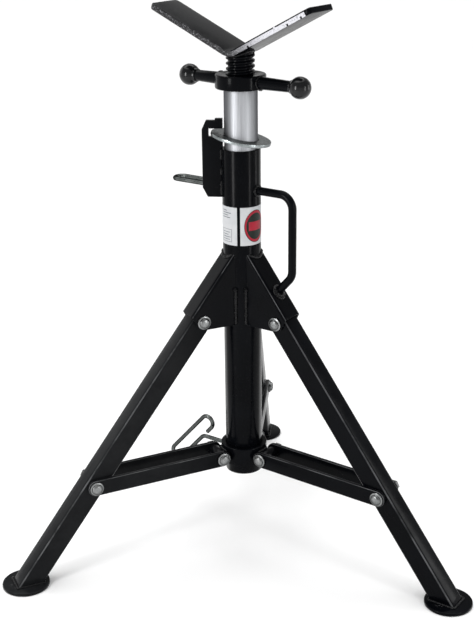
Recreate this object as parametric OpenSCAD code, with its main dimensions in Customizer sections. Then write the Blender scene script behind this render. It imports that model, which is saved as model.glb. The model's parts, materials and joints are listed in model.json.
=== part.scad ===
// Folding tripod pipe stand with a vee head, a screw height adjuster, a pinned telescopic post,
// a tilting lock ring and three legs that fold in on a sliding collar.
// Millimetres, +Z up, floor at z = 0, origin on the floor at the middle of the footprint.

/* [Column] */
// outside diameter of the outer column
column_od = 60.3; // [48:0.1:76]
// wall thickness of the outer column
column_wall = 3.4; // [2.5:0.1:5]
// height of the lower end of the column above the floor
column_bottom = 125; // [100:1:160]
// height of the upper end of the column above the floor
column_top = 670.5; // [560:1:760]

/* [Inner tube] */
// outside diameter of the sliding inner tube
tube_od = 52; // [40:0.1:66]
// wall thickness of the inner tube
tube_wall = 3; // [2:0.1:5]
// height of the top of the inner tube
tube_top = 762.5; // [720:1:900]
// length of the inner tube
tube_length = 626; // [400:1:700]
// spacing of the height holes
hole_pitch = 45; // [25:1:60]

/* [Tripod] */
// radius of the leg hinges from the column axis
hinge_r = 76.6; // [70:0.1:90]
// height of the leg hinges
hinge_z = 403; // [350:1:450]
// angle between an open leg and the vertical
leg_tilt = 37.5; // [30:0.5:45]
// side of the square leg tube
leg_side = 34; // [25:1:40]
// wall thickness of the leg tube
leg_wall = 2.5; // [2:0.1:4]
// distance along the leg from its hinge to the brace bolt
brace_reach = 313; // [250:1:350]
// radius of a round foot plate
foot_radius = 37.5; // [25:0.5:50]
// thickness of a foot plate
foot_t = 5; // [4:0.5:8]

/* [Leg brackets] */
// thickness of the folded bracket plate
bracket_t = 3.5; // [3:0.5:6]
// height of the top edge of a bracket
bracket_top = 509; // [480:1:540]
// radius of the bracket corner round the hinge bolt
bracket_corner = 13; // [12:0.5:20]

/* [Braces and collar] */
// radius of the brace pivots from the column axis
pivot_r = 47.6; // [46:0.1:60]
// height of the brace pivots when the stand is open
pivot_z = 158; // [140:1:180]
// width of a brace bar
bar_w = 26; // [20:1:26]
// thickness of a brace bar
bar_t = 6; // [4:0.5:8]
// outside diameter of the sliding collar
collar_od = 76; // [68:1:77]
// height of the sliding collar
collar_h = 30; // [24:1:40]
// diameter of every pivot bolt
bolt_d = 10; // [8:1:12]

/* [Lock ring] */
// outside diameter of the lock ring
ring_od = 94; // [80:1:110]
// hole diameter of the lock ring
ring_id = 55; // [54.6:0.1:60]
// thickness of the lock ring
ring_t = 5; // [4:0.5:8]
// tilt of the lock ring when it grips
ring_tilt = 11; // [8:1:12]
// thickness of the radial plate that holds the ring
ring_plate_t = 8; // [5:1:12]

/* [Lock pins] */
// wire diameter of the lock pins
pin_d = 7; // [5:0.5:9]
// middle to middle width of the wire loop
loop_w = 23; // [16:1:30]
// distance from the column axis to the far bend of the upper loop
upper_loop_r = 126; // [100:1:140]
// length of the lower loop's straight wires past the pin's elbow
lower_loop_l = 66; // [40:1:80]
// height of the upper lock pin
upper_pin_z = 604.5; // [600:0.5:640]

/* [Adjuster and head] */
// diameter of the hand nut hub
nut_od = 78; // [60:1:90]
// height of the hand nut hub
nut_h = 21.5; // [16:1:30]
// crest diameter of the screw
screw_d = 44; // [36:0.5:45]
// pitch of the screw thread
screw_pitch = 8; // [5:0.5:10]
// radius from the axis to the middle of the left knob
knob_left_r = 102; // [90:1:130]
// radius from the axis to the middle of the right knob
knob_right_r = 112; // [90:1:130]
// diameter of a ball knob
knob_d = 33; // [25:1:40]
// direction of the two arms, from +X
arm_turn = 146; // [0:1:180]
// radius of an arm at the hub
arm_root_r = 9.8; // [5:0.1:10]
// radius of an arm at its knob
arm_tip_r = 8.2; // [4:0.1:9]
// height of the bottom of the vee
vee_z = 819.5; // [800:0.5:840]
// slope of the vee wings
vee_slope = 25.3; // [20:0.1:45]
// length of a wing along its slope
wing_l = 158; // [100:1:180]
// inside radius of the bend along the trough
vee_bend = 20; // [5:1:30]
// width of the vee along its trough
vee_w = 63.5; // [50:0.5:120]
// thickness of the vee plate
vee_t = 9; // [6:0.5:12]
// turn of the trough about the column
vee_turn = 30.6; // [-90:0.1:90]
// how far the weld holds the vee off level, right wing up
vee_roll = 1.7; // [0:0.1:3]

/* [Carry handle] */
// rod diameter of the carry handle
handle_d = 13; // [10:0.5:16]
// radius of the upright part from the column axis
handle_r = 94.5; // [90:0.5:110]
// height of the upper part of the handle
handle_z = 607; // [580:0.5:620]

/* [Hidden] */

$fn = 64;
run = 0.06;
lap = 0.4;
step = 0.02;
col_r = column_od / 2;
bore_r = col_r - column_wall;
tube_r = tube_od / 2;
foot_r = hinge_r + hinge_z * tan(leg_tilt);
col_y = -foot_r / 4;
rear = 90;
left = 210;
right = 330;
pin_az = 150;
plate_az = 180;
bolt_r = bolt_d / 2;
hole_r = bolt_r + run;
pin_r = pin_d / 2;
side_gap = 0.5;
inner_face = leg_side / 2 + side_gap;
flange_out = inner_face + bracket_t;
bar_out = inner_face + bar_t;
web_out = leg_side / 2 + 2 + bracket_t;
brace_r = hinge_r + brace_reach * sin(leg_tilt);
brace_z = hinge_z - brace_reach * cos(leg_tilt);
brace_l = norm([brace_r - pivot_r, brace_z - pivot_z]);
brace_dip = atan2(pivot_z - brace_z, brace_r - pivot_r);
fold_z = hinge_z - brace_reach + sqrt(pow(brace_l, 2) - pow(hinge_r - pivot_r, 2));
collar_travel = fold_z - pivot_z;
ring_z = 685.7;
ring_slot_r = 50;
ring_slot_z = 688;
hook_z = 700.5;
upper_tip = bore_r + 0.3;
lower_tip = col_r + 0.5;
thread_turns = 16;
dark = [0.06, 0.065, 0.075];
zinc = [0.72, 0.73, 0.72];
silver = [0.78, 0.79, 0.8];
paper = [0.93, 0.93, 0.92];

module at_col() {
  translate([0, col_y, 0]) children();
}

module spoke(az) {
  at_col() rotate(az) children();
}

module leg_frame() {
  translate([hinge_r, 0, hinge_z]) rotate([0, -leg_tilt, 0]) children();
}

module across(x, z, r, l) {
  translate([x, 0, z]) rotate([90, 0, 0]) cylinder(h = l, r = r, center = true);
}

module outward(x0, x1, z, r) {
  translate([x0, 0, z]) rotate([0, 90, 0]) cylinder(h = x1 - x0, r = r);
}

module side_plate(y0, y1) {
  translate([0, y1, 0]) rotate([90, 0, 0]) linear_extrude(y1 - y0) children();
}

module outer_column() color(dark) {
  difference() {
    at_col() translate([0, 0, column_bottom]) cylinder(h = column_top - column_bottom, r = col_r);
    at_col() translate([0, 0, column_bottom - 1]) cylinder(h = column_top - column_bottom + 2, r = bore_r);
    spoke(pin_az) outward(bore_r - 6, col_r + 2, upper_pin_z, pin_r + run);
    spoke(pin_az) outward(bore_r - 6, col_r + 2, pivot_z, pin_r + 0.3);
    spoke(pin_az) outward(bore_r - 6, col_r + 2, fold_z, pin_r + 0.3);
  }
}

module ring_plate() color(dark) {
  difference() {
    spoke(plate_az) side_plate(-ring_plate_t / 2, ring_plate_t / 2) polygon([
      [20, 593],
      [52.5, 593],
      [60.3, 608],
      [60.3, 699],
      [54, 713],
      [40, 713],
      [40, 716],
      [28.2, 716],
      [28.2, hook_z],
      [ring_slot_r, hook_z],
      [ring_slot_r, ring_slot_z],
      [28.2, ring_slot_z],
      [28.2, column_top],
      [20, column_top]
    ]);
    at_col() cylinder(h = column_top, r = col_r);
  }
}

module flange_shape() {
  n = [cos(leg_tilt), sin(leg_tilt)];
  d = [sin(leg_tilt), -cos(leg_tilt)];
  h = [hinge_r, hinge_z];
  low = h + web_out * n + 3 * d;
  far = norm(low - h);
  toward = atan2(low[1] - h[1], low[0] - h[0]);
  touch = toward - acos(bracket_corner / far);
  up = (bracket_top - low[1]) / -d[1];
  polygon([
    [20, hinge_z - bracket_corner],
    [hinge_r, hinge_z - bracket_corner],
    h,
    h + bracket_corner * [cos(touch), sin(touch)],
    low,
    low - up * d,
    [20, bracket_top]
  ]);
  translate(h) circle(r = bracket_corner);
}

module web_shape() {
  n = [cos(leg_tilt), sin(leg_tilt)];
  d = [sin(leg_tilt), -cos(leg_tilt)];
  low = [hinge_r, hinge_z] + web_out * n + 3 * d;
  up = (bracket_top - low[1]) / -d[1];
  polygon([low, low - up * d, low - up * d - [20, 0], low - up * d - bracket_t * n + 8 * d, low - bracket_t * n]);
}

module bracket(az) color(dark) {
  difference() {
    spoke(az) union() {
      side_plate(inner_face, flange_out) flange_shape();
      side_plate(-flange_out, -inner_face) flange_shape();
      side_plate(-flange_out, flange_out) web_shape();
    }
    spoke(az) across(hinge_r, hinge_z, hole_r, 3 * leg_side);
    at_col() cylinder(h = column_top, r = col_r);
  }
}

module bracket_rear() {
  bracket(rear);
}

module bracket_left() {
  bracket(left);
}

module bracket_right() {
  bracket(right);
}

module rod(l, d) {
  translate([0, 0, -lap]) cylinder(h = l + 2 * lap, r = d / 2 - step, $fn = 28);
}

module bend_of(d, r, sweep) {
  rotate_extrude(angle = sweep, $fn = 48) translate([r, 0]) circle(d = d, $fn = 28);
}

module carry_handle() color(dark) {
  bend = 22;
  low_z = 487;
  low_tilt = 42;
  difference() {
    spoke(right) union() {
      translate([20, 0, handle_z]) rotate([0, 90, 0]) rod(handle_r - bend - 20, handle_d);
      translate([handle_r - bend, 0, handle_z - bend]) rotate([90, 0, 0]) bend_of(handle_d, bend, 90);
      translate([handle_r, 0, low_z]) rod(handle_z - bend - low_z, handle_d);
      translate([handle_r - bend, 0, low_z]) rotate([90, 0, 0]) rotate([0, 0, -low_tilt])
        bend_of(handle_d, bend, low_tilt);
      translate([handle_r - bend + bend * cos(low_tilt), 0, low_z - bend * sin(low_tilt)])
        rotate([0, low_tilt, 0]) translate([0, 0, -50]) rod(50, handle_d);
    }
    at_col() cylinder(h = column_top, r = col_r);
    spoke(right) leg_frame() translate([web_out - 80, -30, -20]) cube([80, 60, 200]);
  }
}

module label(a0, a1) color(paper) {
  at_col() rotate(a0) rotate_extrude(angle = a1 - a0, $fn = 120) translate([col_r, 522]) square([0.3, 61]);
}

module label_left() {
  label(163, 261);
}

module label_right() {
  label(270.5, 368.5);
}

module bolt_head() {
  rotate_extrude() polygon([[0, 0], [11, 0], [11, 2], [8.4, 2.6], [8.2, 4.6], [6.4, 6.2], [3, 6.9], [0, 7]]);
}

module nut_shape() {
  difference() {
    union() {
      cylinder(h = 2, r = 11);
      translate([0, 0, 2]) linear_extrude(8) circle(d = 19.2, $fn = 6);
    }
    translate([0, 0, -1]) cylinder(h = 12, r = hole_r);
  }
}

module bolt(face) {
  rotate([90, 0, 0]) {
    translate([0, 0, face]) bolt_head();
    translate([0, 0, -face - 11]) cylinder(h = 2 * face + 11, r = bolt_r);
  }
}

module bolt_nut(face) {
  rotate([-90, 0, 0]) translate([0, 0, face]) nut_shape();
}

module flip(on) {
  if (on) mirror([0, 1, 0]) children();
  else children();
}

module three(r, z) {
  for (az = [rear, left, right]) spoke(az) translate([r, 0, z]) flip(az == left) children();
}

module hinge_bolts() color(zinc) {
  three(hinge_r, hinge_z) bolt(flange_out);
}

module hinge_nuts() color(zinc) {
  three(hinge_r, hinge_z) bolt_nut(flange_out);
}

module leg(az) color(dark) {
  difference() {
    spoke(az) leg_frame() difference() {
      union() {
        translate([-leg_side / 2, -leg_side / 2, -700]) cube([leg_side, leg_side, 700]);
        across(0, 0, leg_side / 2, leg_side);
      }
      translate([-leg_side / 2 + leg_wall, -leg_side / 2 + leg_wall, -701])
        cube([leg_side - 2 * leg_wall, leg_side - 2 * leg_wall, 760]);
      across(0, 0, hole_r, leg_side + 2);
      across(0, -brace_reach, hole_r, leg_side + 2);
    }
    translate([-900, -900, foot_t - 900]) cube([1800, 1800, 900]);
  }
}

module leg_rear() {
  leg(rear);
}

module leg_left() {
  leg(left);
}

module leg_right() {
  leg(right);
}

module foot(az) color(dark) {
  spoke(az) translate([foot_r, 0, 0]) cylinder(h = foot_t, r = foot_radius);
}

module foot_rear() {
  foot(rear);
}

module foot_left() {
  foot(left);
}

module foot_right() {
  foot(right);
}

module collar_sleeve() color(dark) {
  difference() {
    at_col() translate([0, 0, pivot_z - collar_h / 2]) cylinder(h = collar_h, d = collar_od);
    at_col() translate([0, 0, pivot_z - collar_h]) cylinder(h = 2 * collar_h, r = col_r + 0.35);
    spoke(pin_az) outward(col_r - 5, collar_od, pivot_z, pin_r + run);
  }
}

module collar_bosses() color(dark) {
  difference() {
    for (az = [rear, left, right]) spoke(az) difference() {
      across(pivot_r, pivot_z, 10.5, 2 * inner_face - 0.8);
      across(pivot_r, pivot_z, hole_r, 3 * leg_side);
    }
    at_col() translate([0, 0, pivot_z - collar_h / 2]) cylinder(h = collar_h, d = collar_od);
  }
}

module collar_bolts() color(zinc) {
  three(pivot_r, pivot_z) bolt(bar_out + 0.3);
}

module collar_nuts() color(zinc) {
  three(pivot_r, pivot_z) bolt_nut(bar_out + 0.3);
}

module brace_bar(az, side) color(dark) {
  spoke(az) translate([pivot_r, side * (inner_face + bar_t / 2), pivot_z]) rotate([90, 0, 0])
    rotate(-brace_dip) translate([0, 0, -bar_t / 2]) linear_extrude(bar_t) difference() {
      union() {
        translate([0, -bar_w / 2]) square([brace_l, bar_w]);
        circle(d = bar_w);
        translate([brace_l, 0]) circle(d = bar_w);
      }
      circle(r = hole_r);
      translate([brace_l, 0]) circle(r = hole_r);
    }
}

module brace_rear_a() {
  brace_bar(rear, 1);
}

module brace_rear_b() {
  brace_bar(rear, -1);
}

module brace_left_a() {
  brace_bar(left, 1);
}

module brace_left_b() {
  brace_bar(left, -1);
}

module brace_right_a() {
  brace_bar(right, 1);
}

module brace_right_b() {
  brace_bar(right, -1);
}

module outer_bolt(az) color(zinc) {
  spoke(az) translate([brace_r, 0, brace_z]) flip(az == left) {
    rotate([90, 0, 0]) translate([0, 0, bar_out]) bolt_head();
    rotate([90, 0, 0]) translate([0, 0, inner_face]) cylinder(h = bar_t, r = bolt_r);
    rotate([-90, 0, 0]) {
      translate([0, 0, inner_face]) cylinder(h = bar_t + 11, r = bolt_r);
      translate([0, 0, bar_out]) cylinder(h = 2, r = 11);
      translate([0, 0, bar_out + 2]) linear_extrude(8) circle(d = 19.2, $fn = 6);
    }
  }
}

module outer_bolt_rear() {
  outer_bolt(rear);
}

module outer_bolt_left() {
  outer_bolt(left);
}

module outer_bolt_right() {
  outer_bolt(right);
}

module inner_tube() color(silver) {
  difference() {
    at_col() translate([0, 0, tube_top - tube_length]) cylinder(h = tube_length, r = tube_r);
    at_col() translate([0, 0, tube_top - tube_length - 1]) cylinder(h = tube_length + 2, r = tube_r - tube_wall);
    for (k = [-9:1]) spoke(pin_az) outward(tube_r - 10, tube_r + 2, upper_pin_z + k * hole_pitch, pin_r + 0.4);
  }
}

module spin_nut() color(dark) {
  at_col() difference() {
    translate([0, 0, tube_top]) cylinder(h = nut_h, d = nut_od);
    translate([0, 0, tube_top - 1]) cylinder(h = nut_h + 2, r = screw_d / 2 + run);
  }
}

module arm_taper(reach, gap) {
  root = nut_od / 2 - 5;
  translate([root, 0, tube_top + nut_h / 2]) rotate([0, 90, 0])
    cylinder(h = reach - 4 - root, r1 = arm_root_r + gap, r2 = arm_tip_r + gap);
}

module arm(az, reach) color(dark) {
  difference() {
    spoke(az) arm_taper(reach, 0);
    at_col() translate([0, 0, tube_top]) cylinder(h = nut_h, d = nut_od);
  }
}

module arm_left() {
  arm(arm_turn, knob_left_r);
}

module arm_right() {
  arm(arm_turn + 180, knob_right_r);
}

module knob(az, reach) color(dark) {
  spoke(az) difference() {
    translate([reach, 0, tube_top + nut_h / 2]) sphere(d = knob_d, $fn = 48);
    arm_taper(reach, run);
  }
}

module knob_left() {
  knob(arm_turn, knob_left_r);
}

module knob_right() {
  knob(arm_turn + 180, knob_right_r);
}

function vee_arc(r) =
  [for (i = [-6:6]) [r * sin(i * vee_slope / 6), vee_bend / cos(vee_slope) - r * cos(i * vee_slope / 6)]];

function turned(points) = [for (i = [len(points) - 1:-1:0]) points[i]];

module vee_side(top) {
  x = wing_l * cos(vee_slope);
  z = wing_l * sin(vee_slope);
  s = vee_t * sin(vee_slope);
  c = vee_t * cos(vee_slope);
  upper = top ?
    [[x + s, 200], [-x - s, 200]] :
    concat([[x, z]], turned(vee_arc(vee_bend)), [[-x, z]]);
  polygon(concat([[-x - s, z - c]], vee_arc(vee_bend + vee_t), [[x + s, z - c]], upper));
}

module vee_plan() {
  x = wing_l * cos(vee_slope) + vee_t * sin(vee_slope) + 0.1;
  y = vee_w / 2;
  c = 4;
  polygon([[x, c - y], [x, y - c], [x - c, y], [c - x, y], [-x, y - c], [-x, c - y], [c - x, -y], [x - c, -y]]);
}

module at_vee() {
  at_col() rotate(-vee_turn) translate([0, 0, vee_z]) rotate([0, -vee_roll, 0]) children();
}

module vee_plate() color(dark) {
  at_vee() intersection() {
    side_plate(-vee_w, vee_w) vee_side(false);
    translate([0, 0, -60]) linear_extrude(260) vee_plan();
  }
}

module jack_screw() color(dark) {
  top = vee_z + 12;
  thread_z = vee_z - 9 - thread_turns * screw_pitch;
  ridges = [for (i = [0:thread_turns - 1]) each [
    [screw_d / 2 - 3, thread_z + i * screw_pitch + 1.2],
    [screw_d / 2, thread_z + i * screw_pitch + 2.6],
    [screw_d / 2, thread_z + i * screw_pitch + 5.4],
    [screw_d / 2 - 3, thread_z + i * screw_pitch + 6.8]
  ]];
  difference() {
    at_col() rotate_extrude($fn = 48) polygon(concat(
      [[0, thread_z - 20], [screw_d / 2 - 4.5, thread_z - 20], [screw_d / 2 - 3, thread_z - 18.5]],
      ridges,
      [[screw_d / 2 - 3, top], [0, top]]
    ));
    at_vee() side_plate(-vee_w, vee_w) vee_side(true);
  }
}

module lock_ring() color(zinc) {
  at_col() translate([-0.2, 0, ring_z]) rotate([0, ring_tilt, 0]) difference() {
    cylinder(h = ring_t, d = ring_od, center = true);
    cylinder(h = ring_t + 2, d = ring_id, center = true);
  }
}

module wire_loop(lean, far, back, turn) {
  w = loop_w / 2;
  rotate([90, 0, 0]) rotate(lean) {
    rotate([0, 90, 0]) rod(far, pin_d);
    translate([-back, loop_w, 0]) rotate([0, 90, 0]) rod(far + back, pin_d);
    translate([far, w, 0]) rotate(-90) bend_of(pin_d, w, 180);
    translate([-back, w, 0]) rotate(90) bend_of(pin_d, w, turn);
    if (turn == 180) translate([-back, 0, 0]) rotate([0, 90, 0]) rod(12, pin_d);
  }
}

module upper_pin() color(zinc) {
  x = 60;
  spoke(pin_az) union() {
    outward(upper_tip, x, upper_pin_z, pin_r, $fn = 28);
    translate([x, 0, upper_pin_z]) sphere(r = pin_r, $fn = 28);
    translate([x, 0, upper_pin_z]) rotate([90, 0, 0]) wire_loop(0, upper_loop_r - x, 6, 100);
  }
}

module lower_pin() color(zinc) {
  lean = 48;
  elbow = 12;
  x = 80;
  spoke(pin_az) translate([0, 0, pivot_z]) union() {
    translate([lower_tip, 0, 0]) rotate([0, 90, 0]) rod(x - lower_tip, pin_d);
    translate([x, 0, -elbow]) rotate([90, 0, 0]) rotate(90 - lean) bend_of(pin_d, elbow, lean);
    translate([x + elbow * sin(lean), 0, elbow * (cos(lean) - 1)]) wire_loop(-lean, lower_loop_l, 31, 180);
  }
}

outer_column();
ring_plate();
bracket_rear();
bracket_left();
bracket_right();
carry_handle();
label_left();
label_right();
hinge_bolts();
hinge_nuts();
leg_rear();
leg_left();
leg_right();
foot_rear();
foot_left();
foot_right();
collar_sleeve();
collar_bosses();
collar_bolts();
collar_nuts();
brace_rear_a();
brace_rear_b();
brace_left_a();
brace_left_b();
brace_right_a();
brace_right_b();
outer_bolt_rear();
outer_bolt_left();
outer_bolt_right();
inner_tube();
spin_nut();
arm_left();
arm_right();
knob_left();
knob_right();
jack_screw();
vee_plate();
lock_ring();
upper_pin();
lower_pin();
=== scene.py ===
"""Looks of the folding pipe stand on its CAD frame: materials, welds, thread, labels, camera."""

import json
import math

import bmesh
import bpy
from mathutils import Matrix, Vector, noise


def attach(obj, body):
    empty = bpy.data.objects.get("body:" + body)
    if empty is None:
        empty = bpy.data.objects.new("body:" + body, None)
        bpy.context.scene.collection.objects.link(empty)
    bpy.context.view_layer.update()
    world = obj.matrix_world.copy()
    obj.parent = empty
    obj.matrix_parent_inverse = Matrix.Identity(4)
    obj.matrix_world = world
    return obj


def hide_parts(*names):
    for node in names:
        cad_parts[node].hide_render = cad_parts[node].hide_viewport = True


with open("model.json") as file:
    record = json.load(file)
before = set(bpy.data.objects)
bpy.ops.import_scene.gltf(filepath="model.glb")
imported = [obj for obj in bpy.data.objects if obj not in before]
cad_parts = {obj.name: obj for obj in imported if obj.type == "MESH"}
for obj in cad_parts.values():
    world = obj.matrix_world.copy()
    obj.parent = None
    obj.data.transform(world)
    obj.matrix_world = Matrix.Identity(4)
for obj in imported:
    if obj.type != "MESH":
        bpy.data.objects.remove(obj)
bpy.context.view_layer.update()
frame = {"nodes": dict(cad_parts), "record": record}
NODES = frame["nodes"]

# Sizes in millimetres and degrees. Radii and heights are from the column axis and the floor.
MM = 0.001
COL_R, COLLAR_R = 30.15, 38.0

LEG_AZ = {"rear": 90, "left": 210, "right": 330}
HINGE_R, HINGE_Z, TILT = 76.6, 403.0, 37.5
LEG_HALF, LEG_WALL, LEG_CORNER = 17.0, 2.5, 4.5
FOOT_DISC_R, FOOT_T = 37.5, 5.0
FOOT_R = HINGE_R + HINGE_Z * math.tan(math.radians(TILT))
COL_Y = -FOOT_R / 4

PLATE_T, FOLD_R, PLATE_CORNER = 3.5, 4.2, 13.0
# The last number is how many degrees either side of each fold's middle get the painted highlight.
FLANGE_OUT, WEB_OUT, FOLD_HIGHLIGHT = 21.0, 22.5, 7

PIVOT_R, PIVOT_Z, BRACE_REACH = 47.6, 158.0, 313.0
BAR_W, BAR_T, BAR_GAP = 26.0, 6.0, 17.5

HANDLE_AZ, HANDLE_Z, HANDLE_LEAN = 330, 607.0, 42.0
HANDLE_FOOT, HANDLE_RUN = (72.5, 487.0), 22.0
RING_PLATE_AZ = 180

NUT_BOTTOM, NUT_TOP, NUT_R, NUT_BORE, NUT_CORNER = 762.52, 784.0, 39.0, 22.06, 2.6
NUT_MID_Z, ARM_TURN, ARM_R = 773.25, 146.0, 9.8
KNOB_R, KNOB_LEFT, KNOB_RIGHT = 16.5, 102, 112

VEE_Z, VEE_TURN, VEE_ROLL = 819.5, 30.6, 1.7
VEE_SLOPE, VEE_T, VEE_BEND = 25.3, 9.0, 20.0
VEE_HALF_W, VEE_WING, VEE_CHAMFER = 31.75, 158.0, 4.0
SCREW_R, SCREW_CORE, PITCH, SCREW_TURNS = 22.0, 19.0, 8.0, 16

LABEL_Z0, LABEL_H, LABEL_T = 522.0, 61.0, 0.3


# ---------------------------------------------------------------- placing


def spoke(az):
    """Millimetres out, across and up from the column axis, to the frame's metres."""
    return (
        Matrix.Translation((0, COL_Y * MM, 0))
        @ Matrix.Rotation(math.radians(az), 4, "Z")
        @ Matrix.Diagonal((MM, MM, MM, 1))
    )


def leg_space(az):
    """The same at a leg's hinge: x out from the leg's face, z up along the leg."""
    leaned = Matrix.Rotation(math.radians(-TILT), 4, "Y")
    return spoke(az) @ Matrix.Translation((HINGE_R, 0, HINGE_Z)) @ leaned


def at(az, radial, lateral, z):
    """A point in the frame's metres."""
    return spoke(az) @ Vector((radial, lateral, z))


def new_object(name, verts, faces, body, material, space=None):
    """A closed, smooth-shaded piece riding on a body; space takes its points to the frame."""
    if space is not None:
        verts = [space @ Vector(v) for v in verts]
    mesh = bpy.data.meshes.new(name)
    mesh.from_pydata([tuple(v) for v in verts], [], faces)
    mesh.validate()
    bm = bmesh.new()
    bm.from_mesh(mesh)
    bmesh.ops.remove_doubles(bm, verts=bm.verts, dist=1e-6)
    bmesh.ops.recalc_face_normals(bm, faces=bm.faces)
    bm.to_mesh(mesh)
    bm.free()
    for p in mesh.polygons:
        p.use_smooth = True
    obj = bpy.data.objects.new(name, mesh)
    bpy.context.scene.collection.objects.link(obj)
    mesh.materials.append(material)
    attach(obj, body)
    return obj


def round_edges(obj, size, segments, angle, material=None):
    """Round the edges sharper than angle; material picks the slot of the rounded strips."""
    bevel = obj.modifiers.new("edge_round", "BEVEL")
    bevel.width = size * MM
    bevel.segments = segments
    bevel.limit_method = "ANGLE"
    bevel.angle_limit = math.radians(angle)
    if material is not None:
        bevel.material = material


def second_material(obj, material, space=None, chosen=None):
    """Add a material, and give it to the faces whose centres, in the axes of space, are chosen."""
    obj.data.materials.append(material)
    if chosen is None:
        return
    back = space.inverted()
    for face in obj.data.polygons:
        if chosen(back @ face.center):
            face.material_index = 1


def ring_points(count):
    """Angles once round a circle, in radians."""
    return [2 * math.pi * k / count for k in range(count)]


def grid_faces(rows, cols, closed=False):
    """Quads over rows of points; closed joins each row's end to its start."""
    last = cols if closed else cols - 1
    faces = []
    for i in range(rows - 1):
        for k in range(last):
            b = (k + 1) % cols
            faces.append((i * cols + k, i * cols + b, (i + 1) * cols + b, (i + 1) * cols + k))
    return faces


def revolve(profile, count):
    """Verts and faces of a profile of (radius, height) points turned about z."""
    verts = [(r * math.cos(t), r * math.sin(t), h) for r, h in profile for t in ring_points(count)]
    return verts, grid_faces(len(profile), count, closed=True)


def prism_faces(count, base=0):
    """Both ends and the sides of a prism: two outlines of count points, one after the other."""
    near = [base + k for k in range(count)]
    far = [base + count + k for k in range(count)]
    sides = [(near[k], near[(k + 1) % count], far[(k + 1) % count], far[k]) for k in range(count)]
    return [tuple(near), tuple(far)] + sides


def arc(cx, cy, r, a0, a1, count):
    """Points from a0 to a1 degrees round (cx, cy), both ends included."""
    angles = [math.radians(a0 + (a1 - a0) * i / count) for i in range(count + 1)]
    return [(cx + r * math.cos(a), cy + r * math.sin(a)) for a in angles]


# ---------------------------------------------------------------- materials


class Nodes:
    """Short hand for building a material's node tree."""

    def __init__(self, name):
        self.mat = bpy.data.materials.new(name)
        self.mat.use_nodes = True
        self.tree = self.mat.node_tree
        self.shader = self.tree.nodes["Principled BSDF"]
        self.coord = self.add("ShaderNodeTexCoord").outputs["Object"]

    def add(self, kind, **settings):
        n = self.tree.nodes.new(kind)
        for key, value in settings.items():
            setattr(n, key, value)
        return n

    def link(self, a, b):
        self.tree.links.new(a, b)

    def set(self, **values):
        for key, value in values.items():
            self.shader.inputs[key.replace("_", " ")].default_value = value

    def scaled(self, scale):
        m = self.add("ShaderNodeMapping")
        m.inputs["Scale"].default_value = scale
        self.link(self.coord, m.inputs["Vector"])
        return m.outputs["Vector"]

    def noise(self, scale, detail=3.0, rough=0.5, stretch=None):
        n = self.add("ShaderNodeTexNoise")
        n.inputs["Scale"].default_value = scale
        n.inputs["Detail"].default_value = detail
        n.inputs["Roughness"].default_value = rough
        self.link(self.scaled(stretch) if stretch else self.coord, n.inputs["Vector"])
        return n.outputs["Fac"]

    def cells(self, scale):
        n = self.add("ShaderNodeTexVoronoi")
        n.inputs["Scale"].default_value = scale
        self.link(self.coord, n.inputs["Vector"])
        return n.outputs["Color"]

    def span(self, value, low, high, out_low, out_high):
        n = self.add("ShaderNodeMapRange")
        n.interpolation_type = "SMOOTHSTEP"
        limits = {"From Min": low, "From Max": high, "To Min": out_low, "To Max": out_high}
        for key, v in limits.items():
            n.inputs[key].default_value = v
        self.link(value, n.inputs["Value"])
        return n.outputs["Result"]

    def mix(self, factor, a, b):
        n = self.add("ShaderNodeMix", data_type="RGBA")
        self.link(factor, n.inputs["Factor"])
        for socket, v in ((n.inputs[6], a), (n.inputs[7], b)):
            if isinstance(v, tuple):
                socket.default_value = (*v, 1.0)
            else:
                self.link(v, socket)
        return n.outputs[2]

    def times(self, a, b):
        n = self.add("ShaderNodeMath", operation="MULTIPLY")
        self.link(a, n.inputs[0])
        self.link(b, n.inputs[1])
        return n.outputs[0]

    def bump(self, height, strength, distance, onto=None):
        n = self.add("ShaderNodeBump")
        n.inputs["Strength"].default_value = strength
        n.inputs["Distance"].default_value = distance
        self.link(height, n.inputs["Height"])
        if onto is not None:
            self.link(onto, n.inputs["Normal"])
        return n.outputs["Normal"]

    def edges(self, low, high):
        """1 on sharp outward edges, 0 on flats."""
        g = self.add("ShaderNodeNewGeometry")
        return self.span(g.outputs["Pointiness"], low, high, 0.0, 1.0)

    def rim(self, profile):
        """A value by how far the surface turns away: [(turn, value)], turn 0 facing, 1 edge on."""
        facing = self.add("ShaderNodeLayerWeight")
        facing.inputs["Blend"].default_value = 0.5
        ramp = self.add("ShaderNodeValToRGB")
        stops = ramp.color_ramp.elements
        while len(stops) < len(profile):
            stops.new(0.5)
        for stop, (turn, value) in zip(stops, profile):
            stop.position = turn
            stop.color = (value, value, value, 1.0)
        self.link(facing.outputs["Facing"], ramp.inputs["Fac"])
        return ramp.outputs["Color"]

    def shade(self, color, by):
        n = self.add("ShaderNodeMix", data_type="RGBA", blend_type="MULTIPLY")
        n.inputs["Factor"].default_value = 1.0
        self.link(color, n.inputs[6])
        self.link(by, n.inputs[7])
        return n.outputs[2]

    def axis(self, name):
        """One coordinate of the place on the object, X, Y or Z."""
        split = self.add("ShaderNodeSeparateXYZ")
        self.link(self.coord, split.inputs["Vector"])
        return split.outputs[name]

    def finish(self, color, rough, normal=None):
        for value, socket in ((color, "Base Color"), (rough, "Roughness"), (normal, "Normal")):
            if value is not None:
                self.link(value, self.shader.inputs[socket])
        return self.mat


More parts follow.
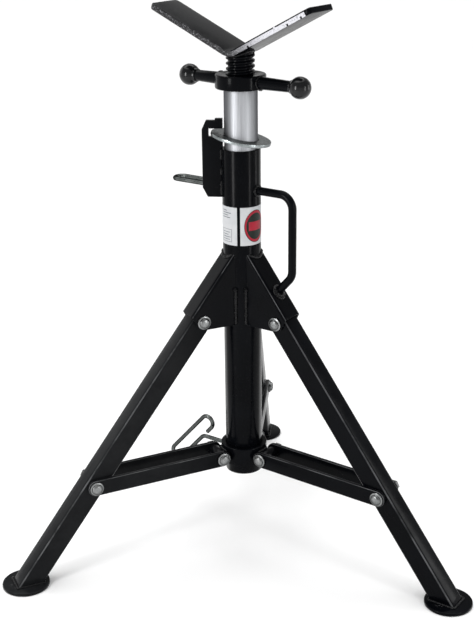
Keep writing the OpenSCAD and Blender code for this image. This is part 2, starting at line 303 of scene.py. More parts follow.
def black_paint(name, edge_highlight):
    """Glossy black enamel with orange peel, a faint haze, scuffs and specks; painted light lightens the
    left side, and a noisy painted highlight can be laid on rounded edges.
    """
    n = Nodes(name)
    n.set(Metallic=0.0, IOR=1.5, Specular_IOR_Level=0.045, Coat_Weight=0.015, Coat_Roughness=0.06)
    sheen = n.rim([(0.0, 0.042), (0.54, 0.042), (0.64, 0.15), (0.76, 0.09), (0.88, 0.02)])
    n.link(sheen, n.shader.inputs["Specular IOR Level"])
    haze = n.span(n.noise(9.0, 4.0, 0.6), 0.35, 0.7, 0.0, 1.0)
    base = n.mix(haze, (0.001, 0.0012, 0.0018), (0.0022, 0.0026, 0.0036))
    # Painted light: a mottled lighter tone towards the left side (negative X), standing in for the
    # brighter light falling there.
    left_light_mottle = n.span(n.noise(22.0, 5.0, 0.65), 0.3, 0.7, 0.5, 1.0)
    left_side_light = n.times(n.span(n.axis("X"), -0.02, -0.13, 0.0, 1.0), left_light_mottle)
    base = n.mix(left_side_light, base, (0.0115, 0.012, 0.0128))
    # Painted highlight: a noisy lighter grey for rounded edges and folds, standing in for light caught
    # on the bend.
    if edge_highlight:
        painted_edge_highlight = n.span(n.noise(15.0, 4.0, 0.65), 0.36, 0.66, 0.1, 1.0)
        base = n.mix(painted_edge_highlight, base, (0.085, 0.087, 0.09))
    scuff = n.span(n.noise(170.0, 6.0, 0.7, (1.0, 1.0, 0.12)), 0.68, 0.76, 0.0, 1.0)
    base = n.mix(scuff, base, (0.009, 0.0098, 0.011))
    chips = n.times(n.edges(0.54, 0.6), n.span(n.noise(420.0, 3.0, 0.6), 0.58, 0.64, 0.0, 1.0))
    base = n.mix(chips, base, (0.07, 0.07, 0.072))
    rough = n.span(n.noise(26.0, 3.0, 0.6), 0.3, 0.75, 0.16, 0.27)
    peel = n.bump(n.noise(620.0, 2.0, 0.5), 0.1, 0.0003)
    return n.finish(base, rough, n.bump(n.noise(60.0, 2.0, 0.5), 0.08, 0.0005, peel))


def weld_paint():
    """The same enamel over a rippled bead, with dull pores."""
    n = Nodes("weld_paint")
    n.set(Metallic=0.0, IOR=1.5, Specular_IOR_Level=0.12, Coat_Weight=0.08, Coat_Roughness=0.05)
    base = n.mix(n.noise(300.0, 3.0), (0.0015, 0.0017, 0.002), (0.004, 0.0043, 0.005))
    rough = n.span(n.noise(220.0), 0.3, 0.7, 0.14, 0.3)
    return n.finish(base, rough, n.bump(n.noise(700.0, 4.0, 0.6), 0.4, 0.0005))


def cut_edge():
    """Flame-cut edge of the thick strap: drag lines and thin paint with painted glints on the left
    wing, and a painted highlight band on the right wing.
    """
    n = Nodes("cut_edge")
    n.set(IOR=1.5, Specular_IOR_Level=0.3)
    # Painted highlight: the right wing (positive X) takes a bright band standing in for a reflected
    # soft box; the left keeps dark paint.
    side = n.span(n.axis("X"), -0.02, 0.05, 0.0, 1.0)
    drag = n.noise(520.0, 4.0, 0.65)
    # Painted glints: bright specks on the dark paint of the left wing.
    glint_specks = n.span(n.noise(520.0, 4.0, 0.75), 0.56, 0.62, 0.0, 1.0)
    painted = n.mix(glint_specks, (0.002, 0.002, 0.003), (0.3, 0.3, 0.32))
    highlight_band = n.mix(n.span(drag, 0.3, 0.5, 0.0, 1.0), (0.22, 0.22, 0.24), (0.62, 0.62, 0.66))
    base = n.mix(side, painted, highlight_band)
    return n.finish(base, n.span(drag, 0.3, 0.7, 0.25, 0.5), n.bump(drag, 0.5, 0.0006))


def zinc_plate(name, low, high, rim, edge, outline_shade=False):
    """Bright zinc: pale grey, cool cast, fine grain and spangle; painted shade darkens it as the
    surface turns from the view, and can darken its hollows and sharp rims.
    """
    n = Nodes(name)
    n.set(Metallic=1.0, Specular_Tint=edge)
    cloud = n.span(n.noise(70.0, 4.0, 0.6), 0.3, 0.7, 0.0, 1.0)
    base = n.mix(cloud, low, high)
    spangle = n.span(n.cells(900.0), 0.2, 0.9, 0.0, 0.45)
    base = n.mix(spangle, base, tuple((a + b) / 2 for a, b in zip(low, high)))
    stain = n.times(n.span(n.noise(240.0, 5.0, 0.7), 0.6, 0.72, 0.0, 1.0), cloud)
    base = n.mix(stain, base, tuple(0.6 * a for a in low))
    # Painted shade: the colour is scaled down by how far the surface turns from the view, following the
    # rim profile.
    base = n.shade(base, n.rim(rim))
    # Painted shade: dark lines in the hollows, such as where a washer meets its dome, and a darker tone
    # on sharp rims.
    if outline_shade:
        point = n.add("ShaderNodeNewGeometry").outputs["Pointiness"]
        base = n.mix(n.span(point, 0.47, 0.5, 1.0, 0.0), base, (0.02, 0.022, 0.022))
        base = n.mix(n.span(point, 0.505, 0.54, 0.0, 0.55), base, tuple(0.35 * a for a in high))
    rough = n.span(n.noise(180.0, 4.0, 0.6), 0.3, 0.7, 0.22, 0.4)
    return n.finish(base, rough, n.bump(n.noise(1500.0, 3.0, 0.6), 0.16, 0.0003))


def bare_tube():
    """Drawn steel tube: satin silver, long fine draw lines along the axis, a few rub rings, and painted
    shade darkening it towards the silhouette.
    """
    n = Nodes("bare_tube")
    n.set(Metallic=1.0, Specular_Tint=(0.45, 0.45, 0.47, 1.0))
    lines = n.noise(900.0, 3.0, 0.6, (1.0, 1.0, 0.012))
    cloud = n.noise(16.0, 3.0, 0.6)
    base = n.mix(n.span(lines, 0.35, 0.68, 0.0, 1.0), (0.4, 0.41, 0.43), (0.52, 0.53, 0.555))
    base = n.mix(n.span(cloud, 0.4, 0.75, 0.0, 0.5), base, (0.48, 0.49, 0.51))
    rub = n.span(n.noise(40.0, 5.0, 0.75, (0.5, 0.5, 16.0)), 0.62, 0.72, 0.0, 0.35)
    base = n.mix(rub, base, (0.34, 0.345, 0.36))
    # Painted shade: darker as the surface turns from the view, standing in for the darker surroundings
    # it would reflect.
    base = n.shade(base, n.rim([(0.0, 1.0), (0.1, 0.8), (0.22, 0.56), (0.4, 0.34), (0.65, 0.26)]))
    rough = n.span(lines, 0.3, 0.7, 0.46, 0.58)
    return n.finish(base, rough, n.bump(lines, 0.2, 0.00025))


def black_knob():
    """Moulded knob: glossy, with a soft sheen variation and fine scratches."""
    n = Nodes("black_knob")
    n.set(Metallic=0.0, IOR=1.5, Specular_IOR_Level=0.22, Coat_Weight=0.1, Coat_Roughness=0.04)
    base = n.mix(n.noise(40.0, 3.0), (0.003, 0.0032, 0.0036), (0.006, 0.0063, 0.007))
    scratch = n.span(n.noise(380.0, 6.0, 0.7, (1.0, 0.15, 1.0)), 0.68, 0.74, 0.0, 1.0)
    base = n.mix(scratch, base, (0.016, 0.016, 0.017))
    rough = n.span(n.noise(60.0), 0.3, 0.7, 0.13, 0.24)
    return n.finish(base, rough, n.bump(n.noise(500.0, 2.0), 0.08, 0.0004))


def print_film(name, low, high):
    """Printed vinyl film: even colour with a light mottle, soft gloss."""
    n = Nodes(name)
    n.set(Metallic=0.0, IOR=1.46, Specular_IOR_Level=0.15, Coat_Weight=0.05, Coat_Roughness=0.2)
    base = n.mix(n.span(n.noise(55.0, 4.0, 0.6), 0.3, 0.7, 0.0, 1.0), low, high)
    rough = n.span(n.noise(90.0), 0.3, 0.7, 0.3, 0.45)
    return n.finish(base, rough, n.bump(n.noise(260.0, 2.0), 0.06, 0.0003))


def pale_floor():
    """Matt white board."""
    n = Nodes("pale_floor")
    n.set(Specular_IOR_Level=0.2)
    base = n.mix(n.noise(3.0, 2.0), (0.86, 0.86, 0.86), (0.88, 0.88, 0.88))
    return n.finish(base, n.span(n.noise(8.0), 0.3, 0.7, 0.55, 0.65))


PAINT, WELD, TUBE, KNOB = black_paint("black_paint", False), weld_paint(), bare_tube(), black_knob()
# Paint carrying the painted edge highlight, for folds, tube corners and rounded bar edges.
HIGHLIGHT_PAINT = black_paint("black_paint_edge_highlight", True)
ZINC = zinc_plate(
    "zinc_plate",
    low=(0.24, 0.265, 0.27),
    high=(0.4, 0.43, 0.435),
    rim=[(0.0, 0.85), (0.12, 1.0), (0.45, 0.62), (0.85, 0.42)],
    edge=(0.8, 0.8, 0.8, 1.0),
)
ZINC_BOLT = zinc_plate(
    "zinc_bolt",
    low=(0.2, 0.21, 0.21),
    high=(0.34, 0.345, 0.345),
    rim=[(0.0, 0.8), (0.2, 0.9), (0.45, 0.42), (0.75, 0.25)],
    edge=(0.4, 0.4, 0.4, 1.0),
    outline_shade=True,
)
ZINC_WIRE = zinc_plate(
    "zinc_wire",
    low=(0.17, 0.185, 0.18),
    high=(0.3, 0.32, 0.31),
    rim=[(0.0, 0.9), (0.1, 0.8), (0.3, 0.4), (0.6, 0.12)],
    edge=(0.15, 0.16, 0.16, 1.0),
)
CUT = cut_edge()
PAPER = print_film("paper_label", (0.45, 0.46, 0.475), (0.51, 0.515, 0.525))
SLOT_MATERIAL = {
    "black_paint": PAINT,
    "zinc_plate": ZINC,
    "bare_tube": TUBE,
    "paper_label": PAPER,
    "black_knob": KNOB,
}
EDGE_ROUND = {
    "lock_ring": 0.9,
    "ring_plate": 0.9,
    "collar_sleeve": 0.9,
    "outer_column": 0.5,
    "inner_tube": 0.6,
}
SMOOTH_NODES = ("label", "upper_pin", "lower_pin", "carry_handle")


def dress_cad():
    """Materials and rounded edges for the CAD pieces that stay visible."""
    for part in frame["record"]["subparts"]:
        obj = NODES[part["node"]]
        obj.data.materials.clear()
        material = SLOT_MATERIAL[part["material_slot"]]
        if "bolt" in part["node"] or part["node"].endswith("nuts"):
            material = ZINC_BOLT
        if part["node"].endswith("_pin"):
            material = ZINC_WIRE
        obj.data.materials.append(material)
        if not part["node"].startswith(SMOOTH_NODES):
            obj.modifiers.new("joined", "WELD").merge_threshold = 1e-6
            round_edges(obj, EDGE_ROUND.get(part["node"], 0.7), 2, 38)


dress_cad()


# ---------------------------------------------------------------- folded brackets


def bracket(name, az):
    """A plate folded round the leg's head: two flanges and a sloping web, with real fold radii."""
    sin_t, cos_t = math.sin(math.radians(TILT)), math.cos(math.radians(TILT))
    web_n, flange_y = WEB_OUT - PLATE_T / 2, FLANGE_OUT - PLATE_T / 2
    edge_n, edge_y = web_n - FOLD_R, flange_y - FOLD_R
    inside, buried = COL_R - 1.6, -50
    low_n, low_v = WEB_OUT, 3.0
    touch = math.atan2(low_v, low_n) + math.acos(PLATE_CORNER / math.hypot(low_n, low_v))
    touch_n, touch_v = PLATE_CORNER * math.cos(touch), PLATE_CORNER * math.sin(touch)

    def top(n, y):
        return (math.sqrt(inside**2 - y * y) - HINGE_R - n * cos_t) / sin_t

    def bottom(n):
        if n < -PLATE_CORNER * sin_t:
            return (PLATE_CORNER + n * sin_t) / cos_t
        if n < touch_n:
            return math.sqrt(PLATE_CORNER**2 - n * n)
        return touch_v + (low_v - touch_v) * (n - touch_n) / (low_n - touch_n)

    def on_fold_line(c):
        turn = math.degrees(math.atan2(c.x - edge_n, abs(c.y) - edge_y))
        return abs(turn - 45) < FOLD_HIGHLIGHT

    half = [(buried + (edge_n - buried) * (i / 15) ** 0.8, flange_y) for i in range(15)]
    half += arc(edge_n, edge_y, FOLD_R, 90, 0, 7)
    across = half + [(web_n, edge_y * (1 - i / 6)) for i in range(1, 12)]
    across += [(n, -y) for n, y in reversed(half)]
    rows, verts = 26, []
    for i in range(rows + 1):
        for n, y in across:
            a, b = top(n, y), bottom(n)
            verts.append((n, y, -(a + (b - a) * i / rows)))
    faces, space = grid_faces(rows + 1, len(across)), leg_space(az)
    obj = new_object(f"folded_{name}", verts, faces, "column", PAINT, space)
    thick = obj.modifiers.new("plate", "SOLIDIFY")
    thick.thickness = PLATE_T * MM
    thick.offset = 0
    thick.use_even_offset = True
    # Painted highlight: the middle of each fold and the rounded plate edges take the highlight paint.
    second_material(obj, HIGHLIGHT_PAINT, space, on_fold_line)
    round_edges(obj, 0.6, 2, 50, material=1)
    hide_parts(f"bracket_{name}")


for side_name, side_az in LEG_AZ.items():
    bracket(side_name, side_az)


# ---------------------------------------------------------------- legs and feet


def rounded_square(half, r):
    """Outline of a square of half width half with corners of radius r."""
    pts = []
    for a, sx, sy in ((0, 1, 1), (90, -1, 1), (180, -1, -1), (270, 1, -1)):
        pts += arc(sx * (half - r), sy * (half - r), r, a, a + 90, 6)
    return pts


def leg(name, az):
    """A drawn square tube with rounded corners, cut level at the foot and eared at the hinge."""
    sin_t, cos_t = math.sin(math.radians(TILT)), math.cos(math.radians(TILT))
    stations, skin, ear_w, ear_drop = 40, 0.05, 13.5, 6.0
    outer = rounded_square(LEG_HALF, LEG_CORNER)
    inner = rounded_square(LEG_HALF - LEG_WALL, 2.2)

    def row(loop, i):
        return [(n, y, -(HINGE_Z + n * sin_t - FOOT_T) / cos_t * i / stations) for n, y in loop]

    steps = range(stations + 1)
    rows = [row(outer, i) for i in steps] + [row(inner, i) for i in reversed(steps)]
    count, verts = len(outer), [p for points in rows for p in points]
    faces = grid_faces(len(rows), count, closed=True)
    last = (len(rows) - 1) * count
    faces += [(last + k, last + (k + 1) % count, (k + 1) % count, k) for k in range(count)]
    ear = [(ear_w, -ear_drop)] + arc(0, 0, LEG_HALF, 0, 180, 24) + [(-ear_w, -ear_drop)]
    for s in (1, -1):
        faces += prism_faces(len(ear), len(verts))
        for y in (LEG_HALF - LEG_WALL + skin, LEG_HALF - skin):
            verts += [(x, s * y, z) for x, z in ear]
    space = leg_space(az)
    obj = new_object(f"tube_leg_{name}", verts, faces, f"leg_{name}", PAINT, space)
    # Painted highlight on the rounded corners of the tube.
    second_material(obj, HIGHLIGHT_PAINT, space, lambda c: min(abs(c.x), abs(c.y)) > LEG_HALF - 2.1)
    round_edges(obj, 0.5, 2, 60)
    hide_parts(f"leg_{name}")


def foot(name, az):
    """A punched disc: rolled top edge, sharp lower edge."""
    r, roll, centre = FOOT_DISC_R, 1.5, 0.01
    profile = [(centre, FOOT_T), (20, FOOT_T)] + arc(r - roll, FOOT_T - roll, roll, 90, 0, 5)
    profile += [(r, 0.5), (r - 0.5, 0), (20, 0), (centre, 0)]
    verts, faces = revolve(profile, 96)
    space = spoke(az) @ Matrix.Translation((FOOT_R, 0, 0))
    obj = new_object(f"disc_foot_{name}", verts, faces, f"leg_{name}", PAINT, space)
    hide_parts(f"foot_{name}")


def brace(name, az, side):
    """A flat bar with full round ends and softly rolled edges."""
    brace_r = HINGE_R + BRACE_REACH * math.sin(math.radians(TILT))
    brace_z = HINGE_Z - BRACE_REACH * math.cos(math.radians(TILT))
    length = math.hypot(brace_r - PIVOT_R, brace_z - PIVOT_Z)
    dip = math.atan2(PIVOT_Z - brace_z, brace_r - PIVOT_R)
    outline = arc(length, 0, BAR_W / 2, -90, 90, 20) + arc(0, 0, BAR_W / 2, 90, 270, 20)
    walls = sorted((side * BAR_GAP, side * (BAR_GAP + BAR_T)))
    verts = [(x, y, z) for y in walls for x, z in outline]
    space = spoke(az) @ Matrix.Translation((PIVOT_R, 0, PIVOT_Z)) @ Matrix.Rotation(dip, 4, "Y")
    tag = "a" if side > 0 else "b"
    faces = prism_faces(len(outline))
    obj = new_object(f"bar_{name}_{tag}", verts, faces, f"brace_{name}", PAINT, space)
    # Painted highlight on the rounded edges of the bar.
    second_material(obj, HIGHLIGHT_PAINT)
    round_edges(obj, 0.9, 3, 40, material=1)
    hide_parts(f"brace_{name}_{tag}")


for side_name, side_az in LEG_AZ.items():
    leg(side_name, side_az)
    foot(side_name, side_az)
    brace(side_name, side_az, 1)
    brace(side_name, side_az, -1)


# ---------------------------------------------------------------- hand nut and vee


def hand_nut():
    """Turned hub: broken corners top and bottom, faced top with a shallow step."""
    z0, z1, r, bore = NUT_BOTTOM, NUT_TOP, NUT_R, NUT_BORE
    low, high, step = 2.2, NUT_CORNER, 0.6
    profile = [(bore, z0 + 1), (bore + 1, z0), (r - 2.5, z0)]
    profile += arc(r - low, z0 + low, low, -90, 0, 5)[1:] + arc(r - high, z1 - high, high, 0, 90, 6)
    profile += [(bore + 5, z1), (bore + 4, z1 - step), (bore + 1, z1 - step), (bore, z1 - 1 - step)]
    verts, faces = revolve(profile + profile[:1], 96)
    obj = new_object("hub", verts, faces, "spin_nut", PAINT, spoke(0))
    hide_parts("spin_nut")


def knob(tag, az, reach):
    """Moulded ball with a short neck and a faint parting line."""
    count, raised = 72, 1.008
    profile = [(8.2, -16.6), (9.4, -16.6), (10.2, -15.8), (10.4, -13.6)]
    profile += [(max(x, 0.01), h) for x, h in arc(0, 0, KNOB_R, -49, 90, 30)]
    verts, faces = revolve(profile, count)
    for i, v in enumerate(verts):
        if i % (count // 2) == 0 and v[2] > -12:
            verts[i] = tuple(c * raised for c in v)
    turned = Matrix.Rotation(math.radians(90), 4, "Y")
    space = spoke(az) @ Matrix.Translation((reach, 0, NUT_MID_Z)) @ turned
    obj = new_object(f"ball_{tag}", verts, faces, "spin_nut", KNOB, space)
    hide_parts(f"knob_{tag}")


def vee_space():
    """The vee's own axes: x along the wings, y along the trough, z up, in millimetres."""
    roll = Matrix.Rotation(math.radians(-VEE_ROLL), 4, "Y")
    return spoke(-VEE_TURN) @ Matrix.Translation((0, 0, VEE_Z)) @ roll


def under_vee(x):
    """Height of the vee's underside at x, both in its own axes."""
    slope, outer = math.radians(VEE_SLOPE), VEE_BEND + VEE_T
    if abs(x) < outer * math.sin(slope):
        return VEE_BEND / math.cos(slope) - math.sqrt(outer**2 - x * x)
    return abs(x) * math.tan(slope) - VEE_T / math.cos(slope)


def vee_path():
    """Stations over the strap's top: (x, z, normal x, normal z, distance past the bend)."""
    slope = math.radians(VEE_SLOPE)
    sin_s, cos_s = math.sin(slope), math.cos(slope)
    centre_z = VEE_BEND / cos_s
    flat = VEE_WING - VEE_BEND * math.tan(slope)
    steps, turns, path = 46, 8, []
    for i in range(steps + 1):
        s = flat * (1 - i / steps)
        x, z = VEE_BEND * sin_s + s * cos_s, centre_z - VEE_BEND * cos_s + s * sin_s
        path.append((x, z, -sin_s, cos_s, s))
    for i in range(1, turns + 1):
        a = slope * (1 - i / turns)
        x, z = VEE_BEND * math.sin(a), centre_z - VEE_BEND * math.cos(a)
        path.append((x, z, -math.sin(a), math.cos(a), 0))
    return path + [(-x, z, -nx, nz, s) for x, z, nx, nz, s in reversed(path[:-1])], flat


def vee():
    """A thick strap bent over a radius, with cut corners and torn shear edges."""
    path, flat = vee_path()
    t, left_skin, right_skin, paint_end = VEE_T, 1.0, 0.55, 136
    verts = []
    for i, (x, z, nx, nz, s) in enumerate(path):
        narrow = max(0.0, VEE_CHAMFER - (flat - s)) * 0.9
        torn = 0.25 * noise.noise(Vector((i * 0.7, 9.0, 0.0)))
        edge = VEE_HALF_W - narrow + torn - 0.2
        low = edge - 0.6 + 0.3 * noise.noise(Vector((i * 0.9, 5.0, 4.0)))
        section = [(edge, 0), (low, t), (-low, t)]
        section += [(-edge, 0.64 * t), (-edge, 0.24 * t), (0.8 - edge, 0)]
        verts += [(x - nx * depth, y, z - nz * depth) for y, depth in section]
    n = len(path)
    faces = grid_faces(n, 6, closed=True)
    faces += [tuple(range(6)), tuple((n - 1) * 6 + k for k in range(6))]

    def cut_face(c):
        skin = right_skin if c.x > 6 else left_skin
        return c.y < skin - VEE_HALF_W and c.x < paint_end

    obj = new_object("vee_strap", verts, faces, "head", PAINT, vee_space())
    # The cut faces along the front edge take the cut_edge paint, with its painted highlight band on the
    # right wing and painted glints on the left.
    second_material(obj, CUT, vee_space(), cut_face)
    round_edges(obj, 1.1, 3, 40)
    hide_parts("vee_plate")


hand_nut()
knob("left", ARM_TURN, KNOB_LEFT)
knob("right", ARM_TURN + 180, KNOB_RIGHT)
vee()


# ---------------------------------------------------------------- welds


def bead(name, points, radius, body, closed=False, step=1.1):
    """A rippled weld bead swept along points, in metres; radius and step in millimetres."""
    pts = list(points) + ([points[0]] if closed else [])
    path = []
    for a, b in zip(pts, pts[1:]):
        count = max(1, round((b - a).length / (step * MM)))
        path += [a.lerp(b, i / count) for i in range(count)]
    if not closed:
        path.append(pts[-1])
    total, sides, verts = len(path), 8, []
    for i, p in enumerate(path):
        ahead = path[(i + 1) % total] if closed or i + 1 < total else p
        behind = path[i - 1] if closed or i else p
        along = (ahead - behind).normalized()
        side = along.cross(Vector((0.3, 0.2, 0.93))).normalized()
        up = side.cross(along)
        wave = 1 + 0.16 * math.sin(i * 2 * math.pi / 3.4) + 0.3 * noise.noise(p * 240)
        taper = 1.0 if closed else min(1.0, 0.45 + 0.25 * min(i, total - 1 - i))
        for t in ring_points(sides):
            verts.append(p + (side * math.cos(t) + up * math.sin(t)) * radius * MM * wave * taper)
    rings, faces = total if closed else total - 1, []
    for i in range(rings):
        for k in range(sides):
            a, b = i * sides + k, i * sides + (k + 1) % sides
            c, d = ((i + 1) % total) * sides + (k + 1) % sides, ((i + 1) % total) * sides + k
            faces.append((a, b, c, d))
    if not closed:
        faces.append(tuple(range(sides)))
        faces.append(tuple((total - 1) * sides + k for k in range(sides)))
    return new_object(name, verts, faces, body, WELD)


def weld_brackets():
    """A bead down each flange with a thick start, and one over the top of the web."""
    inset = math.sqrt(COL_R**2 - FLANGE_OUT**2)
    sin_t, cos_t = math.sin(math.radians(TILT)), math.cos(math.radians(TILT))
    for name, az in LEG_AZ.items():
        for side, s in (("a", 1), ("b", -1)):
            ends = [at(az, inset + 0.2, s * (FLANGE_OUT + 0.6), z) for z in (391.5, 451)]
            bead(f"weld_bracket_{name}_{side}", ends, 2.8, "column")
            blob = [at(az, inset + 0.6, s * (FLANGE_OUT + 0.8), z) for z in (446, 453)]
            bead(f"weld_bracket_{name}_{side}_start", blob, 3.9, "column", step=0.9)
        top = []
        for y in range(-18, 19, 4):
            r = math.sqrt(COL_R**2 - y * y) + 0.6
            lift = (WEB_OUT - (r - HINGE_R) * cos_t) / sin_t
            top.append(at(az, r, y, HINGE_Z + lift))
        bead(f"weld_web_{name}", top, 2.6, "column")


def weld_ring_plate():
    """Three short beads on each side of the plate that holds the ring."""
    reach = math.sqrt(COL_R**2 - 16)
    for side, s in (("a", 1), ("b", -1)):
        for tag, z0, z1 in (("low", 597, 619), ("mid", 628, 640), ("top", 652, 669)):
            ends = [at(RING_PLATE_AZ, reach + 0.4, s * 4.6, z) for z in (z0, z1)]
            bead(f"weld_ring_plate_{side}_{tag}", ends, 2.8, "column")


def weld_handle():
    """A ring where the handle meets the column, and a spread double ring where it meets the bracket."""
    size, top = 7.4, []
    for t in ring_points(24):
        lat, z = size * math.cos(t), HANDLE_Z + size * math.sin(t)
        top.append(at(HANDLE_AZ, math.sqrt(COL_R**2 - lat**2) + 0.6, lat, z))
    bead("weld_handle_top", top, 2.6, "column", closed=True)
    a, lean = math.radians(TILT), math.radians(HANDLE_LEAN)
    foot_r, foot_z = HANDLE_FOOT
    hit = Vector((foot_r + HANDLE_RUN * math.cos(lean), foot_z - HANDLE_RUN * math.sin(lean)))
    rod = Vector((-math.sin(lean), -math.cos(lean)))
    normal, down = Vector((math.cos(a), math.sin(a))), Vector((math.sin(a), -math.cos(a)))
    run = (WEB_OUT - (hit - Vector((HINGE_R, HINGE_Z))).dot(normal)) / rod.dot(normal)
    centre = hit + rod * run
    # name, points, half height, half width, sag, lift off the web, radius
    rings = (
        ("low", 24, 7.9, 7.2, 0.0, 0.7, 3.4),
        ("toe", 30, 10.8, 9.6, 1.5, 0.2, 2.6),
    )
    for tag, count, tall, wide, sag, lift, thick in rings:
        ring = []
        for t in ring_points(count):
            p = centre + down * (tall * math.cos(t) + sag) + normal * lift
            ring.append(at(HANDLE_AZ, p.x, wide * math.sin(t), p.y))
        bead(f"weld_handle_{tag}", ring, thick, "column", closed=True)


def weld_feet():
    """A square ring round the cut end of each leg."""
    mid = FOOT_R - FOOT_T * math.tan(math.radians(TILT))
    long = LEG_HALF / math.cos(math.radians(TILT)) + 0.3
    wide = LEG_HALF + 0.3
    corners = ((1, 1), (-1, 1), (-1, -1), (1, -1))
    for name, az in LEG_AZ.items():
        ring = [at(az, mid + x * long, y * wide, FOOT_T + 0.4) for x, y in corners]
        bead(f"weld_foot_{name}", ring, 2.0, f"leg_{name}", closed=True)


def weld_collar():
    """A bead above and below each boss of the collar."""
    for name, az in LEG_AZ.items():
        for tag, dz in (("top", 7.6), ("low", -7.6)):
            path = []
            for y in (-13, -6, 0, 6, 13):
                path.append(at(az, math.sqrt(COLLAR_R**2 - y * y) + 1.3, y, PIVOT_Z + dz))
            bead(f"weld_boss_{name}_{tag}", path, 1.9, "collar")


def weld_arms():
    """A ring round the root of each arm."""
    size = ARM_R + 0.5
    for tag, az in (("left", ARM_TURN), ("right", ARM_TURN + 180)):
        ring = []
        for t in ring_points(20):
            lat = size * math.cos(t)
            ring.append(at(az, math.sqrt(NUT_R**2 - lat**2) + 0.4, lat, NUT_MID_Z + size * math.sin(t)))
        bead(f"weld_arm_{tag}", ring, 1.7, "spin_nut", closed=True)


def weld_vee():
    """A ring where the screw meets the underside of the vee."""
    size, space, ring = SCREW_CORE + 0.8, vee_space(), []
    for t in ring_points(40):
        x = size * math.cos(t)
        ring.append(space @ Vector((x, size * math.sin(t), under_vee(x) - 1.0)))
    bead("weld_vee", ring, 2.2, "head", closed=True)


weld_brackets()
weld_ring_plate()
weld_handle()
weld_feet()
weld_collar()
weld_arms()
weld_vee()


# ---------------------------------------------------------------- screw thread


def thread_radius(turn):
    """Trapezoid thread: radius over one pitch, turn from 0 to 1."""
    t = turn % 1.0
    rise, crest, fall = 0.16, 0.34, 0.16
    if t < rise:
        share = t / rise
    elif t < rise + crest:
        share = 1.0
    elif t < rise + crest + fall:
        share = 1.0 - (t - rise - crest) / fall
    else:
        share = 0.0
    return SCREW_CORE + (SCREW_R - SCREW_CORE) * share


def jack_screw():
    """A coarse thread that runs out below the vee and above the plain tail."""
    around, per_pitch, runout, tail, tip = 64, 14, 3.0, 18.5, 1.5
    start, stop = VEE_Z - VEE_T - SCREW_TURNS * PITCH, VEE_Z - 1.5
    z0, z1 = start - tail, VEE_Z + 6.0
    rows = round((z1 - z0) / PITCH * per_pitch)
    lift = math.tan(math.radians(VEE_ROLL))
    verts = []
    for i in range(rows + 1):
        z = z0 + (z1 - z0) * i / rows
        fade = max(0.0, min(1.0, (z - start) / runout, (stop - z) / runout))
        for k, a in enumerate(ring_points(around)):
            r = SCREW_CORE + (thread_radius(z / PITCH - k / around) - SCREW_CORE) * fade
            x = r * math.cos(a)
            roof = VEE_Z + under_vee(x) + x * lift
            verts.append(at(-VEE_TURN, x, r * math.sin(a), min(z, roof + 3)))
    faces = grid_faces(rows + 1, around, closed=True)
    base, r = len(verts), SCREW_CORE - tip
    verts += [at(-VEE_TURN, r * math.cos(a), r * math.sin(a), z0 - tip) for a in ring_points(around)]
    faces += [(k, base + k, base + (k + 1) % around, (k + 1) % around) for k in range(around)]
    faces.append(tuple(base + k for k in range(around)))
    faces.append(tuple(rows * around + k for k in range(around)))
    screw = new_object("screw_thread", verts, faces, "head", PAINT)
    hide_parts("jack_screw")


jack_screw()


# ---------------------------------------------------------------- label prints


def patch(name, outline, material, lift):
    """A printed shape laid on the label: outline is [(degrees, z)], filled by shrinking rings."""
    r, rings, n = COL_R + LABEL_T + lift, 6, len(outline)
    mid_a = sum(a for a, _ in outline) / n
    mid_z = sum(z for _, z in outline) / n
    verts = [at(mid_a, r, 0, mid_z)]
    for i in range(1, rings + 1):
        s = i / rings
        verts += [at(mid_a + (a - mid_a) * s, r, 0, mid_z + (z - mid_z) * s) for a, z in outline]
    faces = [(0, 1 + k, 1 + (k + 1) % n) for k in range(n)]
    for i in range(rings - 1):
        lo, hi = 1 + i * n, 1 + (i + 1) * n
        faces += [(lo + k, hi + k, hi + (k + 1) % n, lo + (k + 1) % n) for k in range(n)]
    return new_object(name, verts, faces, "column", material)


def disc(cx, cz, rx, rz):
    """An oval on the label: cx and rx in degrees, cz and rz in millimetres."""
    return [(cx + rx * math.cos(t), cz + rz * math.sin(t)) for t in ring_points(48)]


def strip(a0, a1, z0, z1):
    """An upright rectangle on the label, from a0 to a1 degrees, stepped to follow the curve."""
    count = 12
    top = [(a0 + (a1 - a0) * k / count, z1) for k in range(count + 1)]
    low = [(a1 - (a1 - a0) * k / count, z0) for k in range(count + 1)]
    return top + low


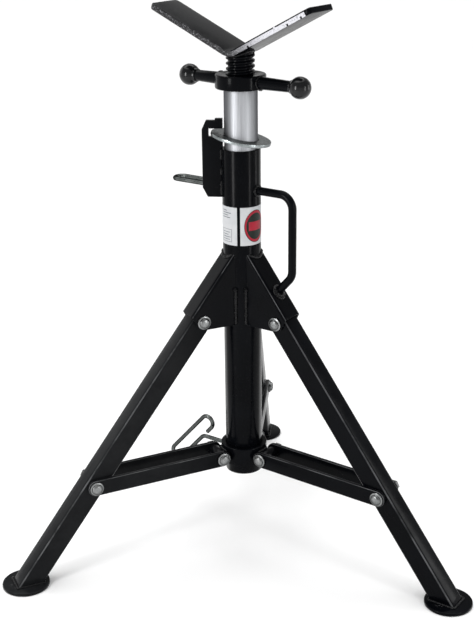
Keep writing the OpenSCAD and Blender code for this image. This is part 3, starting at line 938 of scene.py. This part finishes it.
def label_prints():
    """A plain ring and band on the right label, grey lines and a box on the left one."""
    red = print_film("print_red", (0.27, 0.008, 0.022), (0.34, 0.014, 0.03))
    ink = print_film("print_ink", (0.006, 0.01, 0.008), (0.012, 0.016, 0.013))
    grey = print_film("print_grey", (0.1, 0.11, 0.13), (0.14, 0.15, 0.17))
    badge_az, mid, text_az = 320, LABEL_Z0 + LABEL_H / 2 - 0.5, 206
    patch("print_outline", disc(badge_az, mid, 38, 26), ink, 0.04)
    patch("print_ring", disc(badge_az, mid, 36.6, 25), red, 0.07)
    patch("print_disc", disc(badge_az, mid, 31.4, 21.2), ink, 0.1)
    patch("print_band", strip(296, 344, mid - 6.5, mid + 7.5), red, 0.13)
    for i, width in enumerate((33, 26, 36, 20)):
        z = LABEL_Z0 + 43.5 + i * 3.6
        patch(f"print_line_{i}", strip(text_az, text_az + width, z, z + 1.2), grey, 0.04)
    left, right, low, high = 204, 244, LABEL_Z0 + 5, LABEL_Z0 + 25
    sides = (
        (left, right, high, high + 0.7),
        (left, right, low, low + 0.7),
        (left, left + 1.2, low, high + 0.7),
        (right - 1.2, right, low, high + 0.7),
    )
    for i, side in enumerate(sides):
        patch(f"print_box_{i}", strip(*side), grey, 0.04)
    for i, width in enumerate((29, 32, 24, 30)):
        z = LABEL_Z0 + 8.5 + i * 3.9
        patch(f"print_row_{i}", strip(text_az + 2, text_az + 2 + width, z, z + 1.0), grey, 0.04)


label_prints()


# ---------------------------------------------------------------- stage, light, camera


def light(name, kind, power):
    """A lamp object of that kind, not yet placed."""
    data = bpy.data.lights.new(name, kind)
    data.energy = power
    lamp = bpy.data.objects.new(name, data)
    bpy.context.scene.collection.objects.link(lamp)
    return lamp


def area(name, place, target, size, power):
    """A rectangular soft box at place, in metres, turned to target."""
    lamp = light(name, "AREA", power)
    lamp.data.shape = "RECTANGLE"
    lamp.data.size, lamp.data.size_y = size
    lamp.location = place
    lamp.rotation_euler = (Vector(target) - Vector(place)).to_track_quat("-Z", "Y").to_euler()


def floor():
    """A plain pale sheet just under the feet."""
    half, drop = 30.0, 0.0004
    mesh = bpy.data.meshes.new("floor")
    corners = [(-half, -half, 0), (half, -half, 0), (half, half, 0), (-half, half, 0)]
    mesh.from_pydata(corners, [], [(0, 1, 2, 3)])
    mesh.materials.append(pale_floor())
    sheet = bpy.data.objects.new("floor", mesh)
    sheet.location.z = -drop
    bpy.context.scene.collection.objects.link(sheet)


def surround():
    """A white surround that dims with height."""
    world = bpy.data.worlds.new("studio")
    world.use_nodes = True
    tree = world.node_tree
    way = tree.nodes.new("ShaderNodeTexCoord").outputs["Generated"]
    split = tree.nodes.new("ShaderNodeSeparateXYZ")
    fall = tree.nodes.new("ShaderNodeMapRange")
    fall.interpolation_type = "SMOOTHSTEP"
    for key, v in (("From Min", 0.02), ("From Max", 0.34), ("To Min", 0.95), ("To Max", 0.42)):
        fall.inputs[key].default_value = v
    tree.links.new(way, split.inputs["Vector"])
    tree.links.new(split.outputs["Z"], fall.inputs["Value"])
    sky = tree.nodes["Background"]
    sky.inputs["Color"].default_value = (1.0, 1.0, 1.0, 1.0)
    tree.links.new(fall.outputs["Result"], sky.inputs["Strength"])
    bpy.context.scene.world = world


def lights():
    """A soft sun overhead and four soft boxes round the stand."""
    overhead = light("overhead", "SUN", 2.5)
    overhead.data.angle = math.radians(70)
    overhead.rotation_euler = (math.radians(-12), math.radians(-8), 0)
    area("left_back", (-2.1, 1.15, 1.25), (0, -0.1, 0.5), (1.7, 1.5), 6)
    area("left_front", (-1.45, -1.6, 1.0), (0, -0.1, 0.8), (0.42, 1.15), 22)
    area("right_strip", (1.62, -1.27, 0.75), (0, -0.1, 0.6), (0.2, 1.2), 9)
    area("right_edge", (2.0, 0.25, 0.8), (0, -0.1, 0.6), (0.25, 1.2), 6)


def camera():
    """Raised view from the front; angles in radians, lengths in millimetres."""
    turn, yaw, pitch, roll = 0.0695, -0.0307, 0.3502, -0.0114
    side, back, height = 46.76, 1822.8, 1072.0
    focal_px, long_px = 1204.6, 619.0
    flat = math.cos(pitch)
    forward = Vector((math.sin(yaw) * flat, math.cos(yaw) * flat, -math.sin(pitch)))
    right = Vector((math.cos(yaw), -math.sin(yaw), 0.0))
    up = right.cross(forward)
    right, up = (
        right * math.cos(roll) + up * math.sin(roll),
        up * math.cos(roll) - right * math.sin(roll),
    )
    spin = Matrix.Rotation(turn, 3, "Z")
    place = spin @ Vector((side, -back, height)) + Vector((0, COL_Y, 0))
    axes = [spin @ v for v in (right, up, -forward)]
    data = bpy.data.cameras.new("camera")
    data.sensor_width = 36.0
    data.lens = focal_px / long_px * data.sensor_width
    data.clip_start, data.clip_end = 0.05, 60.0
    cam = bpy.data.objects.new("camera", data)
    bpy.context.scene.collection.objects.link(cam)
    cam.matrix_world = Matrix.Translation(place * MM) @ Matrix(axes).transposed().to_4x4()
    bpy.context.scene.camera = cam


floor()
surround()
lights()
camera()
bpy.context.scene.view_settings.view_transform = "Standard"
